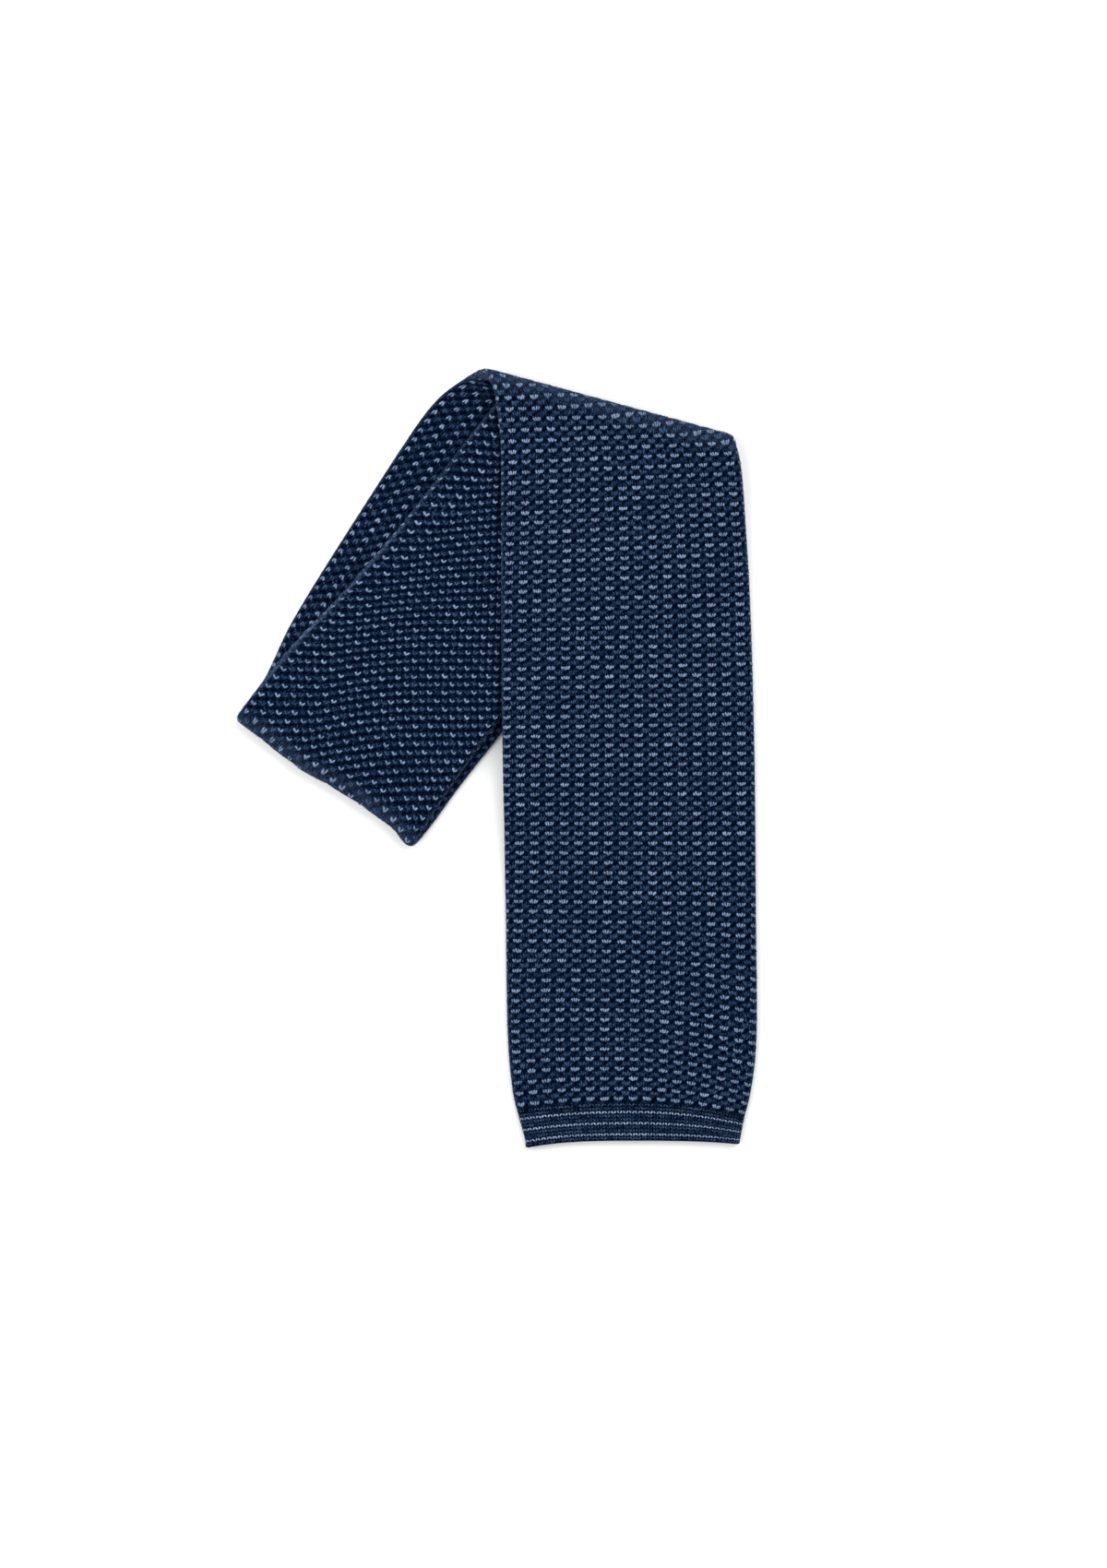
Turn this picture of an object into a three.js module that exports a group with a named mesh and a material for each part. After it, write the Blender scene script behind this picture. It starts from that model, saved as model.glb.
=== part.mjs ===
// A knitted tie lying folded on a table, seen from above as it is sold.
// It is one flattened knit tube with a striped hem. The blade lies on top. At the top crease the tube
// rolls down behind the blade, and at the lower crease it comes back up as the tail, whose plain open
// end is tucked under the blade. Millimetres, +Z up, the hem towards -Y.
//
// The tube is drawn unfolded first, as a flat strip: `across` from the middle of the hem, and `along`
// from the hem towards the tail. place() then rolls that strip over its two creases.
import * as THREE from 'three';

// The strip
const BLADE_WIDTH = 60;
const BLADE_LENGTH = 176.5; // hem to top crease, along the middle
const BACK_LENGTH = 113.5; // top crease to lower crease
const HEM_LENGTH = 8;
const HEM_DIP_LEFT = 1.8; // how far the hem's corners hang below its middle
const HEM_DIP_RIGHT = 0.9;
const SEAM_DIP_LEFT = 1.8; // and how far the line does where the hem joins the tube
const SEAM_DIP_RIGHT = 3.4;
const HEM_CORNER_POWER = 3; // how late the two lines turn down, towards their ends
const SEAM_CORNER_POWER = 2;

// The knit
const WALL = 1.25;
const HOLLOW = 0.5; // between the tube's two walls
const SEAM_GAP = 0.3; // between the tube and its hem

// How it is folded and laid
const TOP_CREASE_TILT = -14.9; // degrees, across the strip
const LOWER_CREASE_TILT = 8;
const LAY_GAP = 0.3; // between one layer and the next
const LOOP_LIFT = 1.4; // the top fold stands this much higher at its open left end
const LOOP_RUN = 30; // and comes down to the other layers over this run
const DRAPE = 28; // the blade comes down off a layer over this run
const TAIL_TUCK = 1.8; // the tail's end stops this far inside the top fold
const EAR = 1.5; // the lower fold's right corner pokes out this far
const EAR_WIDTH = 9;

const THICKNESS = 2 * WALL + HOLLOW;
const LAYER = THICKNESS + LAY_GAP;
const HALF_WIDTH = BLADE_WIDTH / 2;

// The strip's two edges. `at` is a share of the run that the row is in, and the edges are shares of
// half the blade's width. The tail's run is as long as the back's.
const RUNS = {
  blade: { start: 0, length: BLADE_LENGTH },
  back: { start: BLADE_LENGTH, length: BACK_LENGTH },
  tail: { start: BLADE_LENGTH + BACK_LENGTH, length: BACK_LENGTH },
};
const EDGES = [
  { run: 'blade', at: 0, left: -0.85, right: 0.87 },
  { run: 'blade', at: 0.03, left: -0.9, right: 0.905 },
  { run: 'blade', at: 0.06, left: -0.945, right: 0.95 },
  { run: 'blade', at: 0.11, left: -0.98, right: 0.993 },
  { run: 'blade', at: 0.17, left: -0.997, right: 1.007 },
  { run: 'blade', at: 0.3, left: -1.007, right: 1.0 },
  { run: 'blade', at: 0.55, left: -1.033, right: 0.985 },
  { run: 'blade', at: 0.74, left: -1.04, right: 0.95 },
  { run: 'blade', at: 0.84, left: -1.04, right: 0.913 },
  { run: 'blade', at: 0.915, left: -1.042, right: 0.875 },
  { run: 'blade', at: 0.955, left: -1.05, right: 0.82 },
  { run: 'back', at: 0.02, left: -1.1, right: 0.78 },
  { run: 'back', at: 0.09, left: -1.2, right: 0.745 },
  { run: 'back', at: 0.18, left: -1.37, right: 0.7 },
  { run: 'back', at: 0.3, left: -1.437, right: 0.63 },
  { run: 'back', at: 0.5, left: -1.483, right: 0.52 },
  { run: 'back', at: 0.73, left: -1.51, right: 0.4 },
  { run: 'back', at: 0.88, left: -1.475, right: 0.325 },
  { run: 'back', at: 1, left: -1.54, right: 0.275 },
  { run: 'tail', at: 0.14, left: -1.585, right: 0.145 },
  { run: 'tail', at: 0.33, left: -1.605, right: 0.01 },
  { run: 'tail', at: 0.5, left: -1.65, right: -0.06 },
  { run: 'tail', at: 0.64, left: -1.72, right: -0.16 },
  { run: 'tail', at: 0.8, left: -1.81, right: -0.27 },
  { run: 'tail', at: 1, left: -1.93, right: -0.4 },
].map((row) => ({ ...row, along: RUNS[row.run].start + row.at * RUNS[row.run].length }));

// One edge at a place along the strip, on a smooth curve through the rows.
function edge(side, along) {
  const last = EDGES.length - 1;
  let i = EDGES.findIndex((row) => row.along > along) - 1;
  if (i < 0) i = along <= 0 ? 0 : last - 1;
  const [before, from, to, after] = [i - 1, i, i + 1, i + 2]
    .map((k) => EDGES[THREE.MathUtils.clamp(k, 0, last)]);
  const span = to.along - from.along;
  const slope = (a, b) => (b[side] - a[side]) / (b.along - a.along);
  const t = THREE.MathUtils.clamp((along - from.along) / span, 0, 1);
  const leave = slope(before, to) * span;
  const arrive = slope(from, after) * span;
  const share = (2 * t ** 3 - 3 * t ** 2 + 1) * from[side] + (t ** 3 - 2 * t ** 2 + t) * leave
    + (3 * t ** 2 - 2 * t ** 3) * to[side] + (t ** 3 - t ** 2) * arrive;
  return share * HALF_WIDTH;
}

const onStrip = (share, along) => new THREE.Vector2(
  THREE.MathUtils.lerp(edge('left', along), edge('right', along), share), along);

// A crease is a straight line across the strip. `side` is measured along it from the strip's middle,
// and `past` from it towards the tail.
function crease(along, tilt) {
  const middle = onStrip(0.5, along);
  const line = new THREE.Vector2(1, 0).rotateAround(new THREE.Vector2(), THREE.MathUtils.degToRad(tilt));
  const ahead = new THREE.Vector2(-line.y, line.x);
  return {
    along,
    measure: (point) => {
      const from = point.clone().sub(middle);
      return { side: from.dot(line), past: from.dot(ahead) };
    },
    point: (side, past) => middle.clone().addScaledVector(line, side).addScaledVector(ahead, past),
  };
}
const TOP = crease(RUNS.back.start, TOP_CREASE_TILT);
const LOWER = crease(RUNS.tail.start, LOWER_CREASE_TILT);

// How far along the strip a line across it lies, at one share of the width, where pastAt gives its
// distance past a crease.
function alongAt(fold, share, pastAt) {
  let along = fold.along;
  const rounds = 8;
  for (let i = 0; i < rounds; i += 1) {
    const here = fold.measure(onStrip(share, along));
    along += pastAt(here.side) - here.past;
  }
  return along;
}

// A fold rolls the strip half round an axis behind its crease, so that its outside just reaches it.
const foldStart = (radius) => -(radius + THICKNESS / 2);
const foldEnd = (radius) => foldStart(radius) + Math.PI * radius;
const foldedBack = (radius, past) => foldStart(radius) + foldEnd(radius) - past;
const LOWER_RADIUS = LAYER / 2;
const TOP_RADIUS_MOST = LAYER + LOOP_LIFT / 2;
const TOP_START_MOST = foldStart(TOP_RADIUS_MOST);

// How fully a layer lifts what lies over it: 1 over the layer, down to 0 at DRAPE beyond its outline.
function lifts(outline, point) {
  let inside = false;
  let nearest = Infinity;
  outline.forEach((from, i) => {
    const side = outline[(i + 1) % outline.length].clone().sub(from);
    const share = THREE.MathUtils.clamp(point.clone().sub(from).dot(side) / side.lengthSq(), 0, 1);
    nearest = Math.min(nearest, point.distanceTo(from.clone().addScaledVector(side, share)));
    const crosses = from.y > point.y !== from.y + side.y > point.y;
    if (crosses && point.x < from.x + (side.x * (point.y - from.y)) / side.y) inside = !inside;
  });
  return inside ? 1 : 1 - THREE.MathUtils.smoothstep(nearest, 0, DRAPE);
}

// Where the strip past the creases comes to lie, seen from above and near enough to lay the blade on.
function backAt(point) {
  const at = TOP.measure(point);
  return TOP.point(at.side, foldedBack(LAYER, at.past));
}
function tailAt(point) {
  const at = LOWER.measure(point);
  return backAt(LOWER.point(at.side, foldedBack(LOWER_RADIUS, at.past)));
}

// The tail runs back up until its left corner is TAIL_TUCK inside the top fold.
function findTailEnd() {
  let near = RUNS.tail.start;
  let far = RUNS.tail.start + 2 * BACK_LENGTH;
  const halvings = 24;
  for (let i = 0; i < halvings; i += 1) {
    const middle = (near + far) / 2;
    if (TOP.measure(tailAt(onStrip(0, middle))).past < -(THICKNESS + TAIL_TUCK)) near = middle;
    else far = middle;
  }
  return near;
}
const TAIL_END = findTailEnd();

// The outline of one layer in plan, from a line across the strip to another.
function layerOutline(start, end, layAt) {
  const steps = 8;
  const side = (share) => [...Array(steps + 1).keys()].map((i) => layAt(
    onStrip(share, THREE.MathUtils.lerp(start(share), end(share), i / steps))));
  return [...side(0), ...side(1).reverse()];
}
const topCrease = (share) => alongAt(TOP, share, () => 0);
const lowerCrease = (share) => alongAt(LOWER, share, () => 0);
const tailEnd = () => TAIL_END;
const BACK_OUTLINE = layerOutline(topCrease, lowerCrease, backAt);
const TAIL_OUTLINE = layerOutline(lowerCrease, tailEnd, tailAt);
const LOOP_CORNER = onStrip(0, topCrease(0));

// How high the blade's middle surface lies over the back's. It stays the same through the top fold,
// which is held up by its own loop where no layer is under it.
function bladeRise(side, past) {
  const point = TOP.point(side, Math.min(past, TOP_START_MOST));
  const loop = 1 - THREE.MathUtils.smoothstep(point.distanceTo(LOOP_CORNER), 0, LOOP_RUN);
  const fold = THREE.MathUtils.smoothstep(past, TOP_START_MOST - DRAPE, TOP_START_MOST);
  const layers = LAYER * (lifts(BACK_OUTLINE, point) + lifts(TAIL_OUTLINE, point));
  return Math.max(layers + LOOP_LIFT * loop, LAYER * fold);
}
const topRadius = (side) => bladeRise(side, 0) / 2;

// The lower fold's right corner is pulled out into a small ear, in both layers alike.
const EAR_CORNER = LOWER.measure(onStrip(1, lowerCrease(1))).side;
function pullEar(point) {
  const at = LOWER.measure(point);
  const corner = THREE.MathUtils.smoothstep(at.side, EAR_CORNER - EAR_WIDTH, EAR_CORNER);
  const near = 1 - THREE.MathUtils.smoothstep(Math.abs(at.past), 0, 2 * EAR_WIDTH);
  return LOWER.point(at.side, at.past + EAR * corner * near);
}

// Where a point of the strip lies, `out` from its middle surface towards the blade's face.
function place(point, out) {
  const low = LOWER.measure(point);
  const lowTurn = (low.past - foldStart(LOWER_RADIUS)) / LOWER_RADIUS;
  let laid = point;
  let height = -out; // over the back's middle surface, where the blade's face is turned down
  if (lowTurn > Math.PI) {
    laid = LOWER.point(low.side, foldedBack(LOWER_RADIUS, low.past));
    height = LAYER + out;
  } else if (lowTurn > 0) {
    const reach = LOWER_RADIUS + out;
    laid = LOWER.point(low.side, foldStart(LOWER_RADIUS) + reach * Math.sin(lowTurn));
    height = LOWER_RADIUS - reach * Math.cos(lowTurn);
  }
  laid = pullEar(laid);
  const top = TOP.measure(laid);
  const radius = topRadius(top.side);
  const topTurn = (top.past - foldStart(radius)) / radius;
  if (topTurn > Math.PI || lowTurn > 0) {
    laid = TOP.point(top.side, foldedBack(radius, top.past));
  } else if (topTurn > 0) {
    const reach = radius + out;
    laid = TOP.point(top.side, foldStart(radius) + reach * Math.sin(topTurn));
    height = radius + reach * Math.cos(topTurn);
  } else {
    height = bladeRise(top.side, top.past) + out;
  }
  return new THREE.Vector3(laid.x, laid.y, THICKNESS / 2 + height);
}

// The tube's section is a flat oval. Its points go once round, `inset` in from its outside, each as
// how far it lies from the left edge and how far out of the middle surface.
const FLAT_STEPS = 8;
const ROUND_STEPS = 4;
function section(width, inset) {
  const round = THICKNESS / 2;
  const half = round - inset;
  const points = [];
  for (let i = 0; i < 2 * ROUND_STEPS; i += 1) {
    const turn = (Math.PI * (i % ROUND_STEPS)) / ROUND_STEPS;
    const right = i < ROUND_STEPS;
    const face = right ? 1 : -1;
    const middle = right ? width - round : round;
    points.push([middle + face * half * Math.sin(turn), face * half * Math.cos(turn)]);
    if (i % ROUND_STEPS === ROUND_STEPS - 1) {
      const far = right ? round : width - round;
      for (let k = 0; k < FLAT_STEPS; k += 1) {
        points.push([THREE.MathUtils.lerp(middle, far, k / FLAT_STEPS), -face * half]);
      }
    }
  }
  return points;
}

// A hollow length of the tube between lines across the strip. Each stretch has so many steps.
function tube(lines, steps) {
  const stations = lines.slice(1).flatMap((next, k) => [...Array(steps[k]).keys()].map(
    (i) => (share) => THREE.MathUtils.lerp(lines[k](share), next(share), i / steps[k])));
  stations.push(lines.at(-1));
  const positions = [];
  stations.forEach((line) => {
    const width = onStrip(1, line(1)).x - onStrip(0, line(0)).x;
    [0, WALL].forEach((inset) => section(width, inset).forEach(([from, out]) => {
      const share = from / width;
      positions.push(...place(onStrip(share, line(share)), out).toArray());
    }));
  });
  const round = section(BLADE_WIDTH, 0).length;
  const at = (station, ring, i) => (2 * station + ring) * round + (i % round);
  const faces = [];
  const quad = (a, b, c, d) => faces.push(a, b, c, a, c, d);
  const last = stations.length - 1;
  for (let i = 0; i < round; i += 1) {
    for (let k = 0; k < last; k += 1) {
      quad(at(k, 0, i), at(k, 0, i + 1), at(k + 1, 0, i + 1), at(k + 1, 0, i));
      quad(at(k, 1, i), at(k + 1, 1, i), at(k + 1, 1, i + 1), at(k, 1, i + 1));
    }
    quad(at(0, 0, i), at(0, 1, i), at(0, 1, i + 1), at(0, 0, i + 1));
    quad(at(last, 0, i), at(last, 0, i + 1), at(last, 1, i + 1), at(last, 1, i));
  }
  const geometry = new THREE.BufferGeometry();
  geometry.setAttribute('position', new THREE.Float32BufferAttribute(positions, 3));
  geometry.setIndex(faces);
  geometry.computeVertexNormals();
  return geometry;
}

// A line across the strip near the hem, whose ends hang below its middle.
const hangingLine = (along, left, right, power) => (share) => {
  const side = 2 * share - 1;
  return along - (side < 0 ? left : right) * Math.abs(side) ** power;
};
const hemEdge = hangingLine(0, HEM_DIP_LEFT, HEM_DIP_RIGHT, HEM_CORNER_POWER);
const seam = (along) => hangingLine(along, SEAM_DIP_LEFT, SEAM_DIP_RIGHT, SEAM_CORNER_POWER);

function knitTube() {
  const wool = new THREE.MeshStandardMaterial({ color: 0x1f3558, roughness: 0.95, metalness: 0 });
  const turnStart = (fold, radius) => (share) => alongAt(fold, share, (side) => foldStart(radius(side)));
  const turnEnd = (fold, radius) => (share) => alongAt(fold, share, (side) => foldEnd(radius(side)));
  const lowerRadius = () => LOWER_RADIUS;
  const lines = [
    seam(HEM_LENGTH + SEAM_GAP),
    turnStart(TOP, topRadius),
    turnEnd(TOP, topRadius),
    turnStart(LOWER, lowerRadius),
    turnEnd(LOWER, lowerRadius),
    tailEnd,
  ];
  const mesh = new THREE.Mesh(tube(lines, [20, 8, 12, 8, 10]), wool);
  mesh.name = 'knit_tube';
  return mesh;
}

function bladeHem() {
  const wool = new THREE.MeshStandardMaterial({ color: 0x1b2f52, roughness: 0.95, metalness: 0 });
  const mesh = new THREE.Mesh(tube([hemEdge, seam(HEM_LENGTH)], [3]), wool);
  mesh.name = 'blade_hem';
  return mesh;
}

// The origin is under the middle of the folded tie, on the table.
const laid = new THREE.Group();
laid.add(knitTube(), bladeHem());
const box = new THREE.Box3().setFromObject(laid);
const middle = box.getCenter(new THREE.Vector3());
laid.position.set(-middle.x, -middle.y, -box.min.z);

const tie = new THREE.Group();
tie.add(laid);
export default tie;
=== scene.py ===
import math

import bpy
import numpy as np
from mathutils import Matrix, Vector


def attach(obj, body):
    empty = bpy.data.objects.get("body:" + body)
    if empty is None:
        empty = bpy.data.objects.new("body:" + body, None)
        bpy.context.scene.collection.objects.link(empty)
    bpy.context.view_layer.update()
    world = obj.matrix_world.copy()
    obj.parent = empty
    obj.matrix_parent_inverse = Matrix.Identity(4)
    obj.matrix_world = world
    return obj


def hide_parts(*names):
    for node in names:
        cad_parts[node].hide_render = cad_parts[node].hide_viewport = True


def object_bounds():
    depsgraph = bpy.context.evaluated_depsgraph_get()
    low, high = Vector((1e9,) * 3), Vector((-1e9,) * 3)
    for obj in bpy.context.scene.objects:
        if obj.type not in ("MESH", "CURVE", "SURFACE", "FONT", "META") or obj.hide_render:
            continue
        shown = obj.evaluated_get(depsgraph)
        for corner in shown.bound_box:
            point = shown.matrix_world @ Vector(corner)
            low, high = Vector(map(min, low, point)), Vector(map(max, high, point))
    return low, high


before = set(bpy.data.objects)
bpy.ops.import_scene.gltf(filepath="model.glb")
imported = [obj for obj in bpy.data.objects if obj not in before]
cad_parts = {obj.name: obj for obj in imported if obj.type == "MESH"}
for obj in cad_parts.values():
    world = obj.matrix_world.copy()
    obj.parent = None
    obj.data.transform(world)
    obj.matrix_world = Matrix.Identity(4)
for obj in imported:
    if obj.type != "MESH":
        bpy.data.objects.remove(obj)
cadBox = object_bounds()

mm = 0.001

# The tie unfolded as a flat strip, in millimetres. Across it from the middle of the hem, and along it
# from the hem towards the tail, as the solids in the frame are.
strip = {
    "bladeWidth": 60.0,
    "bladeLength": 176.5,  # hem to top crease
    "backLength": 113.5,  # top crease to lower crease
    "hemLength": 8.0,
    "hemDip": (1.8, 0.9),  # how far the hem's corners hang, left and right
    "seamDip": (1.8, 3.4),  # and the line where the hem joins the tube
    "hemCorner": 1.0,  # radius of the hem's corners
    "hemPower": 3,
    "seamPower": 2,
    "dipRun": 55.0,  # the rows above the seam straighten over this run
    "wall": 1.25,
    "hollow": 0.5,
    "layGap": 0.3,
    "topTilt": -14.9,
    "lowerTilt": 8.0,
    "loopLift": 1.4,
    "loopRun": 30.0,
    "drape": 28.0,
    "tailTuck": 1.8,
    "ear": 0.9,  # how far the lower fold's right corner is pulled out, over its width, and its radius
    "earWidth": 7.0,
    "earRound": 1.8,
}
thickness = 2 * strip["wall"] + strip["hollow"]
layer = thickness + strip["layGap"]
halfWidth = strip["bladeWidth"] / 2

runs = {  # start and length along the strip
    "blade": (0.0, strip["bladeLength"]),
    "back": (strip["bladeLength"], strip["backLength"]),
    "tail": (strip["bladeLength"] + strip["backLength"], strip["backLength"]),
}
edgeRows = [  # run, share of it, left and right edge as shares of half the blade's width
    ("blade", 0.0, -0.85, 0.87),
    ("blade", 0.03, -0.9, 0.905),
    ("blade", 0.06, -0.945, 0.95),
    ("blade", 0.11, -0.98, 0.993),
    ("blade", 0.17, -0.997, 1.007),
    ("blade", 0.3, -1.007, 1.0),
    ("blade", 0.55, -1.033, 0.985),
    ("blade", 0.74, -1.04, 0.95),
    ("blade", 0.84, -1.04, 0.913),
    ("blade", 0.915, -1.042, 0.875),
    ("blade", 0.955, -1.05, 0.82),
    ("back", 0.02, -1.1, 0.78),
    ("back", 0.09, -1.2, 0.745),
    ("back", 0.18, -1.37, 0.7),
    ("back", 0.3, -1.437, 0.63),
    ("back", 0.5, -1.483, 0.52),
    ("back", 0.73, -1.51, 0.4),
    ("back", 0.88, -1.475, 0.325),
    ("back", 1.0, -1.54, 0.275),
    ("tail", 0.14, -1.61, 0.145),
    ("tail", 0.33, -1.64, 0.01),
    ("tail", 0.5, -1.68, -0.06),
    ("tail", 0.64, -1.745, -0.16),
    ("tail", 0.8, -1.825, -0.27),
    ("tail", 1.0, -1.93, -0.4),
]
edgeAlong = np.array([runs[run][0] + at * runs[run][1] for run, at, left, right in edgeRows])
edgeShare = np.array([[left, right] for run, at, left, right in edgeRows])


def smooth(value, low, high):
    t = np.clip((value - low) / (high - low), 0, 1)
    return t * t * (3 - 2 * t)


def edgeAt(side, along):  # side 0 is the left edge, 1 the right one
    last = len(edgeAlong) - 1
    i = np.clip(np.searchsorted(edgeAlong, along, side="right") - 1, 0, last - 1)
    share = edgeShare[:, side]
    before = np.clip(i - 1, 0, last)
    after = np.clip(i + 2, 0, last)
    span = edgeAlong[i + 1] - edgeAlong[i]
    t = np.clip((along - edgeAlong[i]) / span, 0, 1)
    leave = (share[i + 1] - share[before]) / (edgeAlong[i + 1] - edgeAlong[before]) * span
    arrive = (share[after] - share[i]) / (edgeAlong[after] - edgeAlong[i]) * span
    curve = (2 * t**3 - 3 * t**2 + 1) * share[i] + (t**3 - 2 * t**2 + t) * leave
    curve = curve + (3 * t**2 - 2 * t**3) * share[i + 1] + (t**3 - t**2) * arrive
    return curve * halfWidth


def onStrip(share, along):
    left = edgeAt(0, along)
    return np.stack([left + (edgeAt(1, along) - left) * share, along * np.ones_like(share)], -1)


def makeCrease(along, tilt):
    turn = math.radians(tilt)
    return {
        "along": along,
        "middle": onStrip(np.array(0.5), np.array(along)),
        "line": np.array([math.cos(turn), math.sin(turn)]),
        "ahead": np.array([-math.sin(turn), math.cos(turn)]),
    }


def measured(crease, point):  # along the crease from the strip's middle, and past it
    offset = point - crease["middle"]
    return offset @ crease["line"], offset @ crease["ahead"]


def pointAt(crease, side, past):
    return crease["middle"] + side[..., None] * crease["line"] + past[..., None] * crease["ahead"]


topCrease = makeCrease(runs["back"][0], strip["topTilt"])
lowerCrease = makeCrease(runs["tail"][0], strip["lowerTilt"])


def foldStart(radius):
    return -(radius + thickness / 2)


def foldedBack(radius, past):
    return 2 * foldStart(radius) + math.pi * radius - past


lowerRadius = layer / 2
topStartMost = foldStart(layer + strip["loopLift"] / 2)


def alongAt(crease, share, rounds=8):
    along = np.full_like(share, crease["along"])
    for _ in range(rounds):
        along = along - measured(crease, onStrip(share, along))[1]
    return along


def backAt(point):  # where the strip past the top crease lies, near enough to lay the blade on
    side, past = measured(topCrease, point)
    return pointAt(topCrease, side, foldedBack(layer, past))


def tailAt(point):
    side, past = measured(lowerCrease, point)
    return backAt(pointAt(lowerCrease, side, foldedBack(lowerRadius, past)))


def findTailEnd(halvings=24):
    near, far = runs["tail"][0], runs["tail"][0] + 2 * strip["backLength"]
    for _ in range(halvings):
        middle = (near + far) / 2
        past = measured(topCrease, tailAt(onStrip(np.array(0.0), np.array(middle))))[1]
        if past < -(thickness + strip["tailTuck"]):
            near = middle
        else:
            far = middle
    return near


tailEnd = findTailEnd()


def layerOutline(start, end, layAt, steps=8):
    t = np.linspace(0, 1, steps + 1)
    sides = [layAt(onStrip(np.full_like(t, share), start[share] + (end[share] - start[share]) * t))
             for share in (0, 1)]
    return np.concatenate([sides[0], sides[1][::-1]])


bothSides = np.array([0.0, 1.0])
topLine = alongAt(topCrease, bothSides)
lowerLine = alongAt(lowerCrease, bothSides)
outlines = [
    layerOutline(topLine, lowerLine, backAt),
    layerOutline(lowerLine, (tailEnd, tailEnd), tailAt),
]
loopCorner = onStrip(bothSides, topLine)[0]
earCorner = measured(lowerCrease, onStrip(bothSides, lowerLine)[1])[0]


def lifts(outline, point):  # 1 over the layer, down to 0 at some way beyond its outline
    inside = np.zeros(point.shape[:-1], bool)
    nearest = np.full(point.shape[:-1], np.inf)
    for start, end in zip(outline, np.roll(outline, -1, axis=0)):
        side = end - start
        share = np.clip((point - start) @ side / (side @ side), 0, 1)
        gap = point - start - share[..., None] * side
        nearest = np.minimum(nearest, np.hypot(gap[..., 0], gap[..., 1]))
        crosses = (start[1] > point[..., 1]) != (end[1] > point[..., 1])
        reach = start[0] + side[0] * (point[..., 1] - start[1]) / (side[1] or 1e-9)
        inside ^= crosses & (point[..., 0] < reach)
    return np.where(inside, 1.0, 1 - smooth(nearest, 0, strip["drape"]))


def bladeRise(side, past):  # of the blade's middle surface over the back's
    point = pointAt(topCrease, side, np.minimum(past, topStartMost))
    away = point - loopCorner
    loop = 1 - smooth(np.hypot(away[..., 0], away[..., 1]), 0, strip["loopRun"])
    fold = smooth(past, topStartMost - strip["drape"], topStartMost)
    layers = layer * (lifts(outlines[0], point) + lifts(outlines[1], point))
    return np.maximum(layers + strip["loopLift"] * loop, layer * fold)


def pullEar(point):
    side, past = measured(lowerCrease, point)
    corner = smooth(side, earCorner - strip["earWidth"], earCorner)
    near = 1 - smooth(np.abs(past), 0, 2 * strip["earWidth"])
    curve = np.clip(1 + past / strip["earRound"], 0, 1)
    cut = strip["earRound"] * (1 - np.sqrt(1 - curve**2)) * corner
    return pointAt(lowerCrease, side - cut, past + strip["ear"] * corner * near)


def place(point, out):  # a point of the strip, out from its middle surface, on the folded tie
    side, past = measured(lowerCrease, point)
    turn = (past - foldStart(lowerRadius)) / lowerRadius
    reach = lowerRadius + out
    onTail, onRoll = turn > math.pi, turn > 0
    bend = np.clip(turn, 0, math.pi)
    rolled = foldStart(lowerRadius) + reach * np.sin(bend)
    past = np.where(onTail, foldedBack(lowerRadius, past), np.where(onRoll, rolled, past))
    height = np.where(onTail, layer + out, np.where(onRoll, lowerRadius - reach * np.cos(bend), -out))
    laid = pullEar(pointAt(lowerCrease, side, past))
    side, past = measured(topCrease, laid)
    radius = bladeRise(side, np.zeros_like(side)) / 2
    turn = (past - foldStart(radius)) / radius
    under = (turn > math.pi) | onRoll
    onFold = (turn > 0) & ~under
    reach = radius + out
    bend = np.clip(turn, 0, math.pi)
    height = np.where(onFold, radius + reach * np.cos(bend), height)
    height = np.where(under | onFold, height, bladeRise(side, past) + out)
    past = np.where(onFold, foldStart(radius) + reach * np.sin(bend),
                    np.where(under, foldedBack(radius, past), past))
    flat = pointAt(topCrease, side, past)
    return np.concatenate([flat, (thickness / 2 + height)[..., None]], -1)


# The tube's section is a flat oval. `way` goes round its outside from the left edge, over the face to
# the right edge, and back behind.
def girth(width):
    return 2 * (width - thickness) + math.pi * thickness


def roundTube(width, way, lift):
    r = thickness / 2
    quarter = math.pi * r / 2
    flat = width - 2 * r
    way = np.mod(way, girth(width))
    starts = [quarter, quarter + flat, 3 * quarter + flat, 3 * quarter + 2 * flat]
    cases = [way < start for start in starts]
    reach = r + lift
    steps = [way] + [way - start for start in starts]
    fromLeft = np.select(cases, [
        r - reach * np.cos(steps[0] / r),
        r + steps[1],
        width - r + reach * np.sin(steps[2] / r),
        width - r - steps[3],
    ], r - reach * np.sin(steps[4] / r))
    out = np.select(cases, [
        reach * np.sin(steps[0] / r),
        reach,
        reach * np.cos(steps[2] / r),
        -reach,
    ], -reach * np.cos(steps[4] / r))
    return fromLeft, out


# Along, and how far the rows climb to the right edge there.
rowLean = [(8, 0.0), (18, 0.9), (40, 0.8), (75, 0.0), (110, -0.7), (145, -1.4), (165, -1.3), (200, 0.0)]


def hangs(share, along):  # how far a line across the strip dips towards its ends
    side = 2 * share - 1
    lean = np.interp(along, *zip(*rowLean)) * side  # the rows climb to one side, as worn knitting does
    pick = (side > 0).astype(int)
    hem = np.array(strip["hemDip"])[pick] * np.abs(side) ** strip["hemPower"]
    seam = np.array(strip["seamDip"])[pick] * np.abs(side) ** strip["seamPower"]
    up = np.clip(along / strip["hemLength"], 0, 1)
    fade = 1 - smooth(along, strip["hemLength"], strip["hemLength"] + strip["dipRun"])
    corner = strip["hemCorner"]
    beyond = np.clip((np.abs(side) * halfWidth - halfWidth) / corner + 1, 0, 1)
    cut = corner * (1 - np.sqrt(1 - beyond**2)) * (1 - np.clip(along / corner / 2, 0, 1))
    return (hem + (seam - hem) * up) * fade + lean - cut


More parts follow.
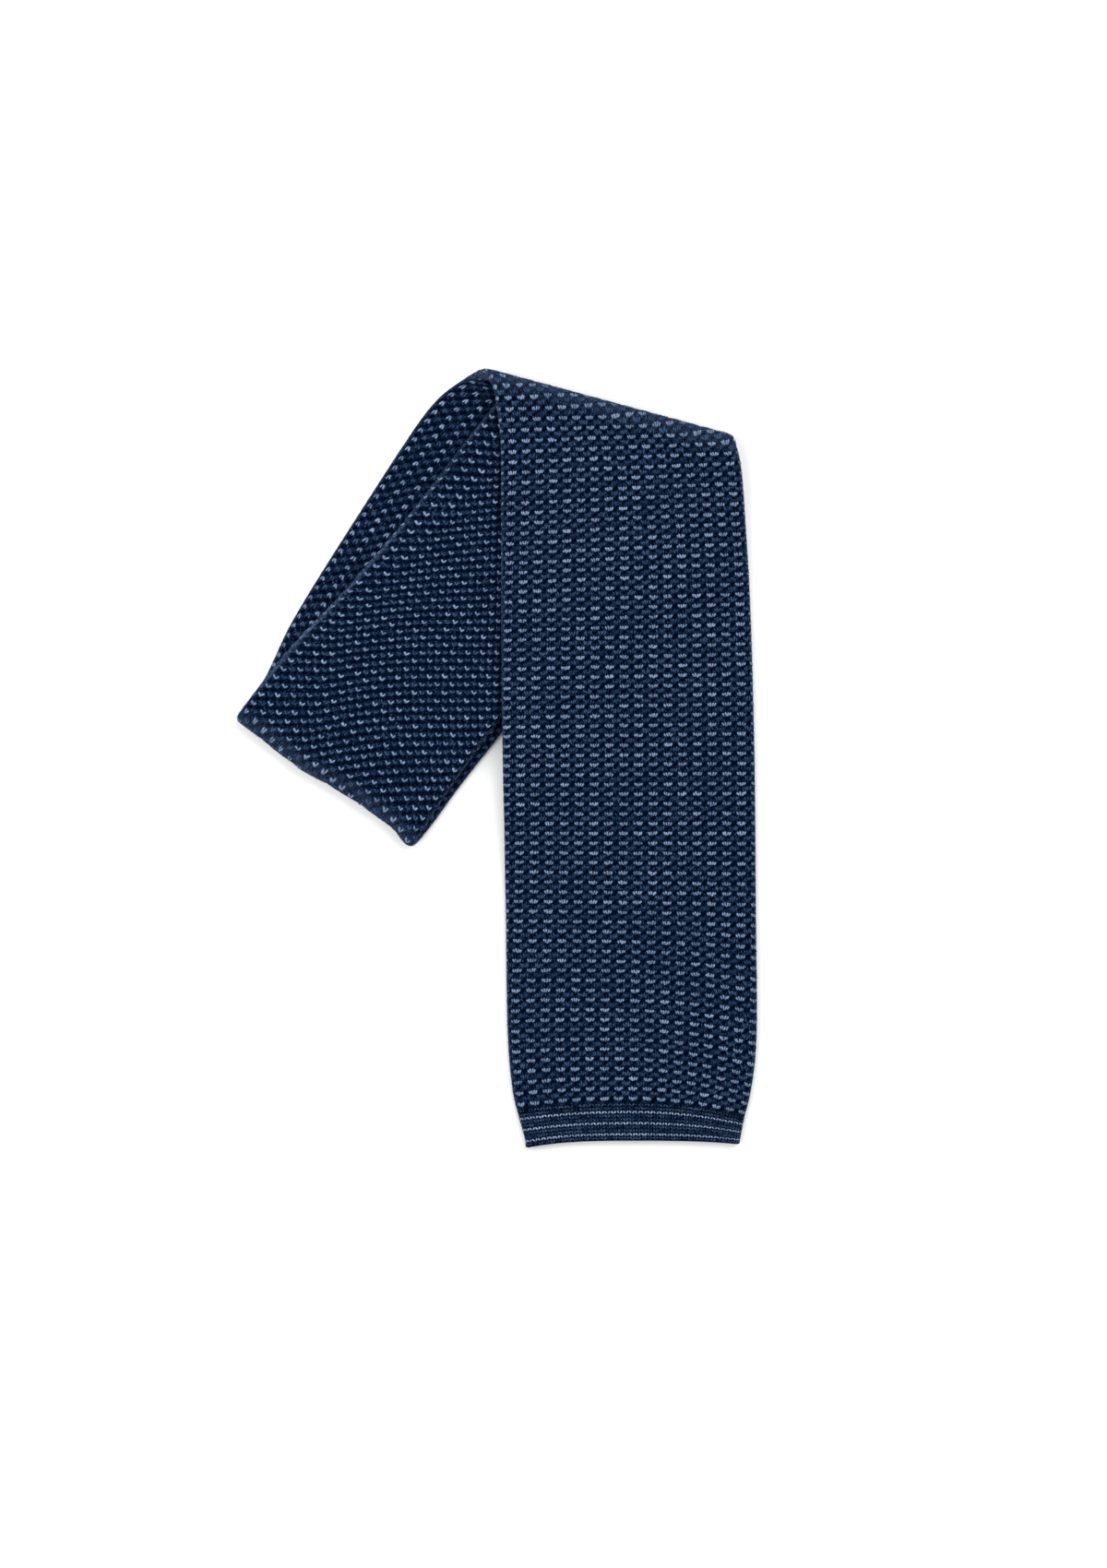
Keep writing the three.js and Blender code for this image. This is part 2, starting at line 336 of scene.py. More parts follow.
def widthAt(along):
    ends = [edgeAt(side, along - hangs(np.full_like(along, float(side)), along)) for side in (0, 1)]
    return ends[1] - ends[0]


def onTie(turn, along, lift):  # turn is a share of the way round the tube; the result is in metres
    width = widthAt(along)
    fromLeft, out = roundTube(width, turn * girth(width), lift)
    share = fromLeft / width
    point = onStrip(share, along - hangs(np.clip(share, 0, 1), along))
    return place(point, out) * mm


def frameShift(stations=400, around=60):  # from the strip's frame to the frame that the solids are in
    along = np.linspace(0, tailEnd, stations)
    turn = np.linspace(0, 1, around, endpoint=False)
    spots = onTie(*np.broadcast_arrays(turn[None, :], along[:, None], np.zeros((1, 1))))
    middle = (spots.min((0, 1)) + spots.max((0, 1))) / 2
    shift = np.array([(low + high) / 2 for low, high in zip(*cadBox)]) - middle
    shift[2] = 0
    return shift


shift = frameShift()
print("strip: folds found, tail ends at", round(tailEnd, 2), "shift", shift.round(5))


def meshFrom(name, spots, faces, maps=None, values=None):  # faces are blocks of equal length
    mesh = bpy.data.meshes.new(name)
    loops = np.concatenate([block.ravel() for block in faces]).astype(np.int32)
    sizes = np.concatenate([np.full(len(block), block.shape[1], np.int32) for block in faces])
    mesh.vertices.add(len(spots))
    mesh.vertices.foreach_set("co", spots.astype(np.float32).ravel())
    mesh.loops.add(len(loops))
    mesh.loops.foreach_set("vertex_index", loops)
    mesh.polygons.add(len(sizes))
    mesh.polygons.foreach_set("loop_start", (np.cumsum(sizes) - sizes).astype(np.int32))
    mesh.polygons.foreach_set("use_smooth", np.ones(len(sizes), bool))
    mesh.update(calc_edges=True)
    mesh.validate()
    for key, uv in (maps or {}).items():
        mesh.uv_layers.new(name=key).data.foreach_set("uv", uv[loops].astype(np.float32).ravel())
    for key, numbers in (values or {}).items():
        mesh.attributes.new(key, "FLOAT", "POINT").data.foreach_set("value", numbers.astype(np.float32))
    piece = bpy.data.objects.new(name, mesh)
    bpy.context.scene.collection.objects.link(piece)
    return piece


# The knit. Columns go round the tube, and rows along it from the first one over the hem.
knit = {
    "columns": 35,  # round the whole tube
    "firstColumn": 0.75,  # mm round from the blade's left edge
    "firstRow": 10.13,
    "rowPitch": [(9, 2.34), (40, 2.33), (60, 2.365), (90, 2.335), (135, 2.335),
                 (176, 2.5), (290, 2.68), (420, 2.7)],  # along, and the pitch there
    "lastRowGap": 1.6,  # from the last row to the tail's end
}


def rowPlaces():
    places = [knit["firstRow"]]
    spots, pitches = zip(*knit["rowPitch"])
    while places[-1] < tailEnd - knit["lastRowGap"]:
        places.append(places[-1] + float(np.interp(places[-1], spots, pitches)))
    return np.array(places[:-1])


rows = rowPlaces()


def rowAt(row):  # along the strip, for a row number that may lie between two rows
    number = np.arange(len(rows))
    first = rows[0] + row * (rows[1] - rows[0])
    last = rows[-1] + (row - number[-1]) * (rows[-1] - rows[-2])
    return np.where(row < 0, first, np.where(row > number[-1], last, np.interp(row, number, rows)))


columnDrift = [  # along, and how far the columns have moved round the tube at its left and right edge
    (8, -3.0, -2.2), (30, -2.5, -2.0), (60, -1.1, -1.2), (90, -0.1, -0.9), (120, 0.5, -0.4),
    (140, 1.1, -0.1), (165, 2.2, -0.7), (176, 2.4, -0.8),
    (286, 4.0, 0.0), (300, 5.0, 0.0), (316, 6.2, 0.0), (338, 10.4, 0.0), (385, 14.0, 0.0),
]


def turnAt(column, along):
    phase = knit["firstColumn"] + math.pi * thickness / 8
    turn = column / knit["columns"] + phase / girth(strip["bladeWidth"])
    places, left, right = zip(*columnDrift)
    left, right = (np.interp(along, places, side) for side in (left, right))
    across = 1 - np.abs(1 - 2 * np.mod(turn, 1))
    return turn + (left + (right - left) * across) / girth(strip["bladeWidth"])


# Where painted sheen lightens the colour: where the surface turns on edge, across the two folds, and in a
# painted highlight line along the tail's left edge. The edge setting only sinks the yarn and skin.
rim = {
    "edge": (0.3, 0.85),  # how level the surface is where an edge is whole, and where it ends
    "facing": (0.05, 0.8),  # how level the surface is where the rim is whole, and where it ends
    "line": (1.1, 0.5, 1.5),  # mm round from the tail's left edge, width, strength of the painted highlight line there
    "lineStart": 12,  # mm of the tail over which that line comes up
    "lineFade": (45, 75, 0.75),  # mm along the tail where it starts to fade and stops, and how much it loses
    "lowerFold": (0.5, 4.5, 0.45),  # mm along from the fold's outermost line where it starts to fade and ends
    "topFold": (1.0, 6.5, 0.5),
}


def outwardsAt(turn, along):
    outwards = onTie(turn, along, np.full_like(turn, 0.5)) - onTie(turn, along, np.zeros_like(turn))
    return outwards / np.linalg.norm(outwards, axis=-1)[..., None]


def facingAt(turn, along):  # 1 where the surface lies level face up, -1 face down
    return outwardsAt(turn, along)[..., 2]


def edgeOn(turn, along):
    return 1 - smooth(np.abs(facingAt(turn, along)), *rim["edge"])


# Strength of the painted sheen, 0 to 1; the fuzz also gathers where it is strong.
def rimAt(turn, along):
    turned = 1 - smooth(np.abs(facingAt(turn, along)), *rim["facing"])
    width = widthAt(along)
    middle, spread, strength = rim["line"]
    away = ((turn - middle / girth(width) + 0.5) % 1 - 0.5) * girth(width)
    tailStart = runs["tail"][0]
    paintedEdgeLight = strength * np.exp(-(away / spread) ** 2) * smooth(along, tailStart, tailStart + rim["lineStart"])
    start, end, loss = rim["lineFade"]
    paintedEdgeLight = paintedEdgeLight * (1 - loss * smooth(along, tailStart + start, tailStart + end))
    share = np.clip(roundTube(width, turn * girth(width), 0)[0] / width, 0, 1)
    point = onStrip(share, along - hangs(share, along))
    folds = [turned, paintedEdgeLight]
    for crease, radius, (start, end, strength) in ((lowerCrease, lowerRadius, rim["lowerFold"]),
                                                   (topCrease, layer, rim["topFold"])):
        past = measured(crease, point)[1] - foldStart(radius) - math.pi / 2 * radius
        folds.append(strength * (1 - smooth(np.abs(past), start, end)))
    return np.maximum.reduce(folds)


skinLook = {
    "around": 4,  # points for each column
    "along": 2,  # and for each row
    "depth": 0.42,
    "edgeDepth": 0.22,  # nearer to the surface at edges and folds, which keeps the outline smooth
    "relief": 0.2,
    "calm": 0.85,  # the share of the relief that is lost at edges
    "innerColumns": 35,
    "innerStep": 4,  # rows from one inner ring to the next
}


def tubeSkin(name, turnOf, u, outerAlong, look, wave, innerEvery):
    rings, count = len(outerAlong), len(u)
    along = outerAlong[:, None] + 0 * u
    turn = turnOf(u[None, :], along)
    edge = edgeOn(turn, along)
    depth = look["depth"] + (look["edgeDepth"] - look["depth"]) * edge
    outer = onTie(turn, along, look["relief"] * wave * (1 - look["calm"] * edge) - depth)
    ratio = count // innerEvery[0]
    kept = np.unique(np.append(np.arange(0, rings - 1, innerEvery[1]), rings - 1))
    innerTurn, innerAlong = turn[kept][:, ::ratio], along[kept][:, ::ratio]
    inner = onTie(innerTurn, innerAlong, np.full_like(innerTurn, -strip["wall"]))
    spots = np.concatenate([outer.reshape(-1, 3), inner.reshape(-1, 3)]) + shift

    def wall(rowsIn, across, base, flip):
        r, c = np.meshgrid(np.arange(rowsIn - 1), np.arange(across), indexing="ij")
        after = (c + 1) % across
        near, far = r * across + base, (r + 1) * across + base
        quad = np.stack([near + c, near + after, far + after, far + c], -1).reshape(-1, 4)
        return quad[:, ::-1] if flip else quad

    base = rings * count
    innerCount = innerEvery[0]
    faces = [wall(rings, count, 0, False), wall(len(kept), innerCount, base, True)]
    for outStart, inStart, flip in ((0, base, True), (base - count, len(spots) - innerCount, False)):
        k = np.arange(innerCount)
        outs = [outStart + (k * ratio + step) % count for step in range(ratio + 1)]
        cap = np.stack(outs + [inStart + (k + 1) % innerCount, inStart + k], -1)
        faces.append(cap[:, ::-1] if flip else cap)
    # The tone follows the relief: on top of the dark yarn's own colour, it paints shade into the pits and
    # lightens the bumps.
    values = {"tone": wave, "rim": rimAt(turn, along)}
    blank = np.zeros(len(spots) - base)
    return meshFrom(name, spots, faces, None, {key: np.append(part, blank) for key, part in values.items()})


def knitSkin():
    columns, rowCount = knit["columns"], len(rows)
    u = np.arange(columns * skinLook["around"]) / skinLook["around"]
    steps = np.arange(0, (rowCount - 1) * skinLook["along"] + 1) / skinLook["along"]
    along = np.concatenate([[strip["hemLength"] - 0.2], rowAt(steps), [tailEnd]])
    v = np.concatenate([[-0.5], steps, [rowCount - 0.5]])
    wave = np.cos(2 * math.pi * u)[None, :] * np.cos(2 * math.pi * v)[:, None]
    return tubeSkin("knit_skin", turnAt, u, along, skinLook, wave,
                    (skinLook["innerColumns"], skinLook["innerStep"] * skinLook["along"]))


# One stitch is a few strokes of yarn. Each goes from a foot to a head, in columns and rows from the
# stitch's middle, on its right side, and is mirrored to the left.
lightStitch = {
    "strokes": [((0.02, -0.27), (0.13, 0.22)), ((0.14, -0.2), (0.29, 0.17))],
    "middle": (0.0, 0.0),
    "radius": 0.3,  # mm
    "crest": 0.0,
    "sink": 0.2,
    "jitter": (0.02, 0.035),
    "sides": 4,
}
navyStitch = {
    "strokes": [((0.02, -0.28), (0.13, 0.24)), ((0.15, -0.22), (0.27, 0.2))],
    "middle": (0.5, 0.52),
    "radius": 0.26,
    "crest": -0.08,
    "sink": 0.2,
    "jitter": (0.035, 0.06),
    "sides": 4,
}
deepStitch = {  # the dark yarn that shows between the others
    "strokes": [((0.2, 0.1), (0.3, 0.42)), ((0.06, 0.24), (0.17, 0.5))],
    "middle": (0.0, 0.0),
    "radius": 0.19,
    "crest": -0.26,
    "sink": 0.12,
    "jitter": (0.04, 0.06),
    "sides": 3,
}
closedRun = (172, 198)  # along the strip, where each stitch closes up to a single V
strokeTones = 0.7  # how much the strokes of one stitch differ in tone
edgeSink = 0.12  # mm that the yarn lies lower at edges and folds
paintedCrestShade = {"tip": 0.1, "foot": 0.75, "rise": 0.5}  # painted shade: a stroke's ridge is lighter than its sides; the ridge's value at its tips, at its foot, and how much it rises from foot to head
tailArms = [((0.13, -0.18), (-0.3, -0.035)), ((0.05, -0.23), (0.2, 0.19))]  # the V's arms on the tail


def sightMaps(around=400, step=0.5, margin=4):  # the highest and lowest z over each square millimetre
    turn = np.arange(0, 1, 1 / around)
    along = np.arange(0, tailEnd, step)
    spots = onTie(*np.broadcast_arrays(turn[None, :], along[:, None], np.zeros((1, 1)))).reshape(-1, 3)
    cells = np.floor(spots[:, :2] / mm).astype(int)
    low = cells.min(0) - margin
    tops = np.full(cells.max(0) - low + margin + 1, -1.0)
    bottoms = -tops
    np.maximum.at(tops, tuple((cells - low).T), spots[:, 2])
    np.minimum.at(bottoms, tuple((cells - low).T), spots[:, 2])
    return low, tops, bottoms


sight = {
    "maps": sightMaps(),
    "under": 1.2,  # mm under the top surface, or over the bottom one, that still counts as seen
    "edgeOn": -0.3,
    "aside": 1.8,  # mm outwards that must be free for an edge to be seen from the side
    "steep": 0.65,  # how level an edge may still be
    "clear": 0.2,  # mm that what lies beside it must be lower
}


def isSeen(column, along):  # from above, and from below
    turn = turnAt(column, along)
    spot = onTie(turn, along, np.zeros(len(column)))
    outwards = outwardsAt(turn, along)
    facing = outwards[:, 2]
    low, tops, bottoms = sight["maps"]
    cell = tuple((np.floor(spot[:, :2] / mm).astype(int) - low).T)
    near = sight["under"] * mm
    above = (facing > sight["edgeOn"]) & (spot[:, 2] > tops[cell] - near)
    below = (-facing > sight["edgeOn"]) & (spot[:, 2] < bottoms[cell] + near)
    beside = spot[:, :2] + outwards[:, :2] * sight["aside"] * mm
    beside = tuple((np.floor(beside / mm).astype(int) - low).T)
    aside = (np.abs(facing) < sight["steep"]) & (tops[beside] < spot[:, 2] - sight["clear"] * mm)
    return above, below, aside, facing


def cellsSeen(rowNumbers, fromAbove=False):  # stitches of which some part is seen
    column, row = (x.ravel() for x in np.meshgrid(np.arange(knit["columns"]), rowNumbers))
    shown = np.zeros(len(column), bool)
    for c, r in ((0, 0), (0.5, 0), (-0.5, 0), (0, 0.5), (0, -0.5)):
        above, below, aside, facing = isSeen(column + c, rowAt(row + r))
        shown |= above if fromAbove else above | below | aside
    return column[shown], row[shown]


def strokeLine(look, column, row, opened, askew, random):
    tone = random.normal(0, 1, len(column))
    closed = np.ravel(look["strokes"][0])[:, None]
    parts = []
    for foot, head in look["strokes"]:
        for side, arm in zip((-1, 1), tailArms):
            shake = random.normal(0, 1, (4, len(column))) * np.array(look["jitter"] * 2)[:, None]
            ends = closed + (np.ravel((foot, head))[:, None] - closed) * opened
            ends = ends * np.array([side, 1, side, 1])[:, None]
            ends = ends + (np.ravel(arm)[:, None] - ends) * askew
            parts.append([
                column + ends[0] + shake[0], row + ends[1] + shake[1],
                column + ends[2] + shake[2], row + ends[3] + shake[3],
                tone + random.normal(0, strokeTones, len(column)),
            ])
    return np.concatenate(parts, axis=1)


def strokes(name, look, line, alongOf, turnOf, pitchColumns, rings=(0.25, 0.75)):
    footColumn, footRow, headColumn, headRow, tone = line
    stations = (0.0, *rings, 1.0)
    sides = look["sides"]
    columns, alongs, liftsAt, yarn, crest = ([] for _ in range(5))
    count = len(tone)
    footAlong, headAlong = alongOf(footRow), alongOf(headRow)
    pitch = girth(widthAt((footAlong + headAlong) / 2)) / pitchColumns
    run = np.stack([(headColumn - footColumn) * pitch, headAlong - footAlong], -1)
    run = run / np.linalg.norm(run, axis=1)[:, None]
    for t in stations:
        tip = t in (0.0, 1.0)
        column = footColumn + (headColumn - footColumn) * t
        along = footAlong + (headAlong - footAlong) * t
        middle = look["crest"] - look["radius"] - look["sink"] * (2 * t - 1) ** 2
        for k in range(1 if tip else sides):
            angle = 2 * math.pi * (k + (0.5 if sides == 3 else 0)) / sides + math.pi
            yarn.append((k / sides, t))
            # painted shade: the ridge of each stroke is lit, its sides and tips shaded
            ridge = max(math.cos(angle), 0) * (paintedCrestShade["foot"] + paintedCrestShade["rise"] * t)
            crest.append(paintedCrestShade["tip"] if tip else ridge)
            across = 0 if tip else look["radius"] * math.sin(angle)
            rise = 0 if tip else look["radius"] * math.cos(angle)
            columns.append(column - across * run[:, 1] / pitch)
            alongs.append(along + across * run[:, 0])
            liftsAt.append(np.full(count, middle + rise))
    columns, alongs, liftsAt = (np.stack(x, -1) for x in (columns, alongs, liftsAt))
    turns = turnOf(columns, alongs)
    spots = onTie(turns, alongs, liftsAt - edgeSink * edgeOn(turns, alongs)).reshape(-1, 3) + shift
    each = columns.shape[1]
    base = (np.arange(count) * each)[:, None]
    k = np.arange(sides)
    after = (k + 1) % sides
    ringStarts = [1 + i * sides for i in range(len(rings))]
    tips = np.concatenate([
        np.stack([0 * k, ringStarts[0] + after, ringStarts[0] + k], -1),
        np.stack([0 * k + each - 1, ringStarts[-1] + k, ringStarts[-1] + after], -1),
    ])
    walls = np.array([np.stack([a + k, a + after, b + after, b + k], -1)
                      for a, b in zip(ringStarts, ringStarts[1:])], int).reshape(-1, 4)
    faces = [(tips[None] + base[:, :, None]).reshape(-1, 3), (walls[None] + base[:, :, None]).reshape(-1, 4)]
    unrolled = np.stack([(columns + 1) / (pitchColumns + 2), (alongs - alongs.min()) / np.ptp(alongs)], -1)
    maps = {"OFBake": unrolled.reshape(-1, 2), "yarn": np.tile(np.array(yarn), (count, 1))}
    values = {"tone": np.repeat(tone, each), "crest": np.tile(crest, count),
              "rim": rimAt(turns, alongs).ravel()}
    return meshFrom(name, spots, faces, maps, values)


wool = {
    "roughness": 0.9,
    "sheenRoughness": 0.5,
    "fibreDetail": 3,
    "apart": 40.0,  # how far apart in the noise two strokes lie, for each step of tone
    "patches": (5, -1.6),  # slope and start of the painted sheen's patches over the fibre's noise
    # the smoke blue of the painted sheen
    "paintedSheen": (0.072, 0.112, 0.2),
}


def addMath(tree, operation, *values):  # each value is a number or a socket
    node = tree.nodes.new("ShaderNodeMath")
    node.operation = operation
    for socket, value in zip(node.inputs, values):
        if isinstance(value, (int, float)):
            socket.default_value = value
        else:
            tree.links.new(value, socket)
    return node


def fibreNoise(tree, look, tone):
    fibre = tree.nodes.new("ShaderNodeTexNoise")
    fibre.inputs["Detail"].default_value = wool["fibreDetail"]
    if not look["streaks"]:
        coords = tree.nodes.new("ShaderNodeTexCoord")
        fibre.inputs["Scale"].default_value = look["fibreScale"]
        tree.links.new(coords.outputs["Object"], fibre.inputs["Vector"])
        return fibre.outputs["Fac"]
    fibre.noise_dimensions = "4D"  # fibres run along each stroke, and differ from one to the next
    fibre.inputs["Scale"].default_value = 1
    yarn = tree.nodes.new("ShaderNodeUVMap")
    yarn.uv_map = "yarn"
    stretch = tree.nodes.new("ShaderNodeMapping")
    stretch.inputs["Scale"].default_value = (*look["streaks"], 1)
    tree.links.new(yarn.outputs["UV"], stretch.inputs["Vector"])
    tree.links.new(stretch.outputs["Vector"], fibre.inputs["Vector"])
    apart = addMath(tree, "MULTIPLY", tone, wool["apart"])
    tree.links.new(apart.outputs[0], fibre.inputs["W"])
    return fibre.outputs["Fac"]


def yarnColour(tree, look, sources):
    tone, crest, edge, fibre = sources
    total = look["toneMiddle"]
    for source, spread in ((tone, "toneSpread"), (crest, "crestShadeSpread"), (fibre, "fibreSpread")):
        total = addMath(tree, "MULTIPLY_ADD", source, look[spread], total).outputs[0]
    ramp = tree.nodes.new("ShaderNodeValToRGB")
    for i, (at, colour) in enumerate(look["colours"]):
        stop = ramp.color_ramp.elements[i] if i < 2 else ramp.color_ramp.elements.new(at)
        stop.position = at
        stop.color = (*colour, 1)
    tree.links.new(total, ramp.inputs["Fac"])
    # Painted sheen: where the rim is strong the colour is mixed towards a smoke blue, in patches that follow
    # the fibre noise.
    slope, start = wool["patches"]
    patchy = addMath(tree, "MULTIPLY_ADD", fibre, slope * look["paintedSheen"], start * look["paintedSheen"])
    patchy.use_clamp = True
    paintedSheen = addMath(tree, "MULTIPLY", edge, patchy.outputs[0])
    blend = tree.nodes.new("ShaderNodeMix")
    blend.data_type = "RGBA"
    blend.inputs["B"].default_value = (*wool["paintedSheen"], 1)
    tree.links.new(paintedSheen.outputs[0], blend.inputs["Factor"])
    tree.links.new(ramp.outputs["Color"], blend.inputs["A"])
    return blend.outputs["Result"]


def yarnMaterial(name, look):
    material = bpy.data.materials.new(name)
    material.use_nodes = True
    tree = material.node_tree
    shader = tree.nodes["Principled BSDF"]
    sources = []
    for key in ("tone", "crest", "rim"):
        source = tree.nodes.new("ShaderNodeAttribute")
        source.attribute_name = key
        sources.append(source.outputs["Fac"])
    fibre = fibreNoise(tree, look, sources[0])
    tree.links.new(yarnColour(tree, look, [*sources, fibre]), shader.inputs["Base Color"])
    bump = tree.nodes.new("ShaderNodeBump")
    bump.inputs["Strength"].default_value = look["bump"]
    bump.inputs["Distance"].default_value = look["bumpHeight"]
    tree.links.new(fibre, bump.inputs["Height"])
    tree.links.new(bump.outputs["Normal"], shader.inputs["Normal"])
    shader.inputs["Roughness"].default_value = wool["roughness"]
    shader.inputs["Specular IOR Level"].default_value = look["gloss"]
    shader.inputs["Sheen Weight"].default_value = look["sheen"]
    shader.inputs["Sheen Roughness"].default_value = wool["sheenRoughness"]
    shader.inputs["Sheen Tint"].default_value = (*look["sheenTint"], 1)
    return material


lightYarn = {
    "streaks": (9, 2.5),
    "toneSpread": 0.06,
    "toneMiddle": 0.0,
    "crestShadeSpread": 0.5,
    "fibreSpread": 0.6,
    "paintedSheen": 0.35,
    "colours": [(0.22, (0.008, 0.02, 0.054)), (0.9, (0.24, 0.315, 0.45)), (0.5, (0.055, 0.088, 0.162))],
    "bump": 0.6,
    "bumpHeight": 0.0001,
    "gloss": 0.05,
    "sheen": 0.12,
    "sheenTint": (0.45, 0.6, 1.0),
}
navyYarn = {
    "streaks": (9, 2.5),
    "toneSpread": 0.07,
    "toneMiddle": 0.0,
    "crestShadeSpread": 0.45,
    "fibreSpread": 0.6,
    "paintedSheen": 0.35,
    "colours": [(0.2, (0.0008, 0.004, 0.016)), (0.85, (0.046, 0.08, 0.15)), (0.5, (0.008, 0.022, 0.058))],
    "bump": 0.6,
    "bumpHeight": 0.0001,
    "gloss": 0.0,
    "sheen": 0.02,
    "sheenTint": (0.25, 0.45, 0.9),
}
deepYarn = {
    **navyYarn,
    "colours": [(0.2, (0.0002, 0.0016, 0.008)), (0.85, (0.026, 0.045, 0.088)), (0.5, (0.003, 0.01, 0.03))],
    "sheen": 0.03,
}
groundYarn = {
    "streaks": None,
    "fibreScale": 2400,
    "toneSpread": 0.2,
    "toneMiddle": 0.0,
    "crestShadeSpread": 0.0,
    "fibreSpread": 1.0,
    "paintedSheen": 0.4,
    "colours": [(0.3, (0.0, 0.0004, 0.003)), (0.8, (0.014, 0.028, 0.062)), (0.5, (0.0012, 0.005, 0.018))],
    "bump": 0.8,
    "bumpHeight": 0.0002,
    "gloss": 0.0,
    "sheen": 0.0,
    "sheenTint": (0.45, 0.6, 1.0),
}


# The hem is a plain fine knit: narrow columns, short courses, and three light stripes.
hem = {
    "columns": 78,  # round the tube
    "courses": 9,
    "stripes": (1, 4, 7),
    "depth": 0.25,
    "edgeDepth": 0.2,
    "relief": 0.04,
    "calm": 0.85,
    "points": 2,  # of the skin for each column and course
    "innerColumns": 39,
    "innerStep": 3,
    "firstCourse": 0.75,
    "over": 0.15,  # mm that it laps over the knit's first row
}
hemGround = {
    **groundYarn,
    "toneSpread": 0.1,
    "colours": [(0.3, (0.0002, 0.0012, 0.006)), (0.8, (0.012, 0.024, 0.055)), (0.5, (0.002, 0.007, 0.02))],
}
hemYarn = {
    **navyYarn,
    "crestShadeSpread": 0.55,
    "toneSpread": 0.12,
    "colours": [(0.25, (0.0001, 0.001, 0.005)), (0.9, (0.04, 0.068, 0.125)), (0.5, (0.0025, 0.009, 0.027))],
}
hemLight = {
    **lightYarn,
    "colours": [(0.22, (0.02, 0.036, 0.08)), (0.9, (0.37, 0.45, 0.6)), (0.5, (0.09, 0.13, 0.22))],
}
hemStitch = {
    "strokes": [((0.05, -0.42), (0.46, 0.38))],
    "middle": (0.5, 0.0),
    "radius": 0.24,
    "crest": 0.0,
    "sink": 0.12,
    "jitter": (0.02, 0.03),
    "sides": 4,
}


def courseAt(course):
    return (course + hem["firstCourse"]) * strip["hemLength"] / hem["courses"]


def hemTurn(column, along):
    return column / hem["columns"] + 0 * along


def hemSkin():
    u = np.arange(hem["columns"] * hem["points"]) / hem["points"]
    along = np.linspace(0, strip["hemLength"] + hem["over"], hem["courses"] * hem["points"] + 1)
    wave = np.cos(2 * math.pi * u)[None, :] * np.ones(len(along))[:, None]
    return tubeSkin("hem_skin", hemTurn, u, along, hem, -wave, (hem["innerColumns"], hem["innerStep"]))


def hemStitches(kind, random):
    courses = [c for c in range(hem["courses"] + 1) if (c in hem["stripes"]) == (kind == "light")]
    column, course = (x.ravel() for x in np.meshgrid(np.arange(hem["columns"]), courses))
    line = strokeLine(hemStitch, column + hemStitch["middle"][0], course, np.ones(len(column)), 0.0, random)
    return strokes(f"hem_stitches_{kind}", hemStitch, line, courseAt, hemTurn, hem["columns"])


stitchLooks = {"light": lightStitch, "navy": navyStitch, "deep": deepStitch}
splits = {
    "blade": (0, runs["back"][0]),
    "back": (runs["back"][0], runs["tail"][0]),
    "tail": (runs["tail"][0], tailEnd),
}


def knitStitches(kind, part, random):
    look = stitchLooks[kind]
    start, end = splits[part]
    column, row = cellsSeen(np.flatnonzero((rows >= start) & (rows < end)), fromAbove=kind == "deep")
    opened = 1 - smooth(rowAt(row), *closedRun)
    askew = float(part == "tail")
    line = strokeLine(look, column + look["middle"][0], row + look["middle"][1], opened, askew, random)
    return strokes(f"{kind}_stitches_{part}", look, line, rowAt, turnAt, knit["columns"])


# Flecks of navy yarn and fine fuzz lie loose on the knit.
looseEnd = 0.5  # mm that they keep from the tail's end, and may reach back over the hem


def looseYarn(name, look, random):
    column = random.uniform(-0.5, knit["columns"] - 0.5, look["tried"])
    along = random.uniform(*look["from"], look["tried"])
    above, below, aside, facing = isSeen(column, along)
    edge = rimAt(turnAt(column, along), along)
    chance = look["cover"] + smooth(-facing, *look["rolls"]) + look["rims"] * edge
    kept = (above | aside) & (random.uniform(0, 1, look["tried"]) < chance)
    column, along, edge = column[kept], along[kept], edge[kept]
    count = len(column)
    angle = math.pi / 2 + random.choice([-1, 1], count) * random.uniform(*look["lean"], count)
    length = random.uniform(*look["length"], count)
    pitch = girth(widthAt(along)) / knit["columns"]
    ends = [column + length * np.cos(angle) / pitch, along + length * np.sin(angle)]
    inside = (ends[1] > look["from"][0] - looseEnd) & (ends[1] < tailEnd - looseEnd)
    # painted sheen: fuzz on rims and folds is given a lighter tone
    tone = random.normal(0, look["toneSpread"], count) + look["sheenTone"] * edge
    line = np.stack([column, along, *ends, tone])[:, inside]
    return strokes(name, look, line, lambda a: a, turnAt, knit["columns"], rings=look["rings"])


flecksLook = {
    "tried": 16000,
    "from": (9.5, tailEnd - 1.5),
    "cover": 0.75,
    "rolls": (2, 3),
    "rims": 0.0,
    "sheenTone": 0.0,
    "toneSpread": 1.6,
    "lean": (0.1, 0.75),
    "length": (0.5, 1.0),
    "rings": (0.25, 0.75),
    "radius": 0.17,
    "crest": -0.14,
    "sink": 0.16,
    "sides": 3,
}
fuzzLook = {
    "tried": 150000,
    "from": (1.0, tailEnd - 1.5),
    "cover": 0.15,  # of the ones tried, that stay on flat parts
    "rolls": (-0.8, -0.2),  # facing, from where they get more and where all stay
    "rims": 0.5,
    "sheenTone": 1.6,
    "toneSpread": 1.0,
    "lean": (0.0, math.pi),
    "length": (0.5, 1.5),
    "rings": (0.5,),
    "radius": 0.015,
    "crest": 0.05,
    "sink": 0.2,
    "sides": 3,
}
